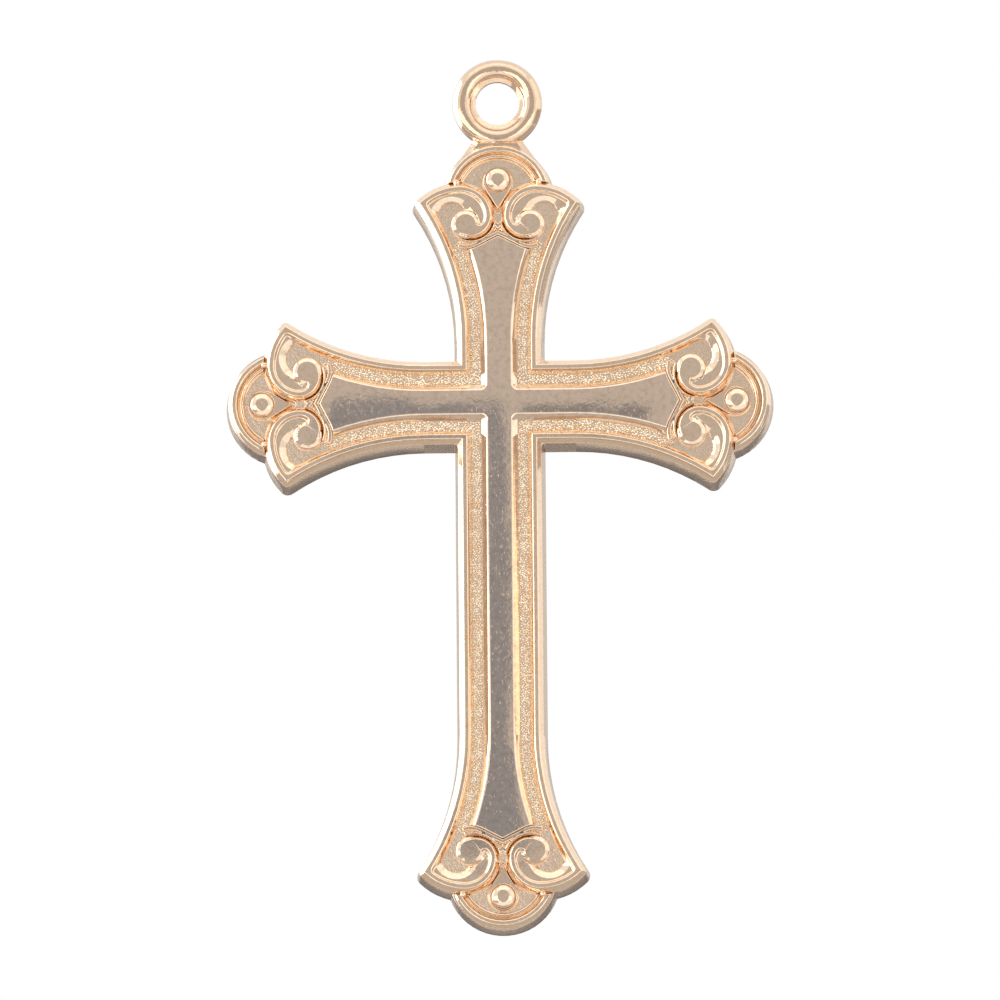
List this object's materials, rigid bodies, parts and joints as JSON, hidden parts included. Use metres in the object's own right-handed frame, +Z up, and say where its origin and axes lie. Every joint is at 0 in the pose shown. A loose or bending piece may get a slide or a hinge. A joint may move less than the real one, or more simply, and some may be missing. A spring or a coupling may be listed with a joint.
{
  "type": "cross pendant",
  "caption": "Latin cross pendant with scrolled rims, raised plain centre, rounded lobes with drop bosses at the arm ends, flat back and a fixed hanging ring.",
  "frame": {"origin": "middle of the hanging ring's hole, halfway through the pendant's thickness", "axes": "+Z up along the upright arm as it hangs, -Y out of the decorated face, +X toward the arm on the right as seen from the front"},
  "size_m": [0.0218, 0.0018, 0.0351],
  "materials": {
    "cast_ground": "light rose-gold metal: plain cast back and walls, fine rough cast ground between the rims",
    "polished_panel": "light rose-gold metal, machine polished flat with fine wear scratches",
    "polished_border": "light rose-gold metal, polished rims with bright cast slopes",
    "fine_moulding": "light rose-gold metal, fine cast beads",
    "lobe_rim": "light rose-gold metal, polished rim and fine ridge",
    "boss": "light rose-gold metal, polished button on a cast drop",
    "polished_ring": "light rose-gold metal, polished round wire with a soldered foot"
  },
  "bodies": {
    "root": {"back_plate": "cast_ground", "centre_panel": "polished_panel", "border_upper_left": "polished_border", "border_lower_left": "polished_border", "border_lower_right": "polished_border", "border_upper_right": "polished_border", "head_moulding": "fine_moulding", "head_lobe": "lobe_rim", "head_boss": "boss", "left_moulding": "fine_moulding", "left_lobe": "lobe_rim", "left_boss": "boss", "foot_moulding": "fine_moulding", "foot_lobe": "lobe_rim", "foot_boss": "boss", "right_moulding": "fine_moulding", "right_lobe": "lobe_rim", "right_boss": "boss", "hanging_ring": "polished_ring"}
  },
  "joints": []
}
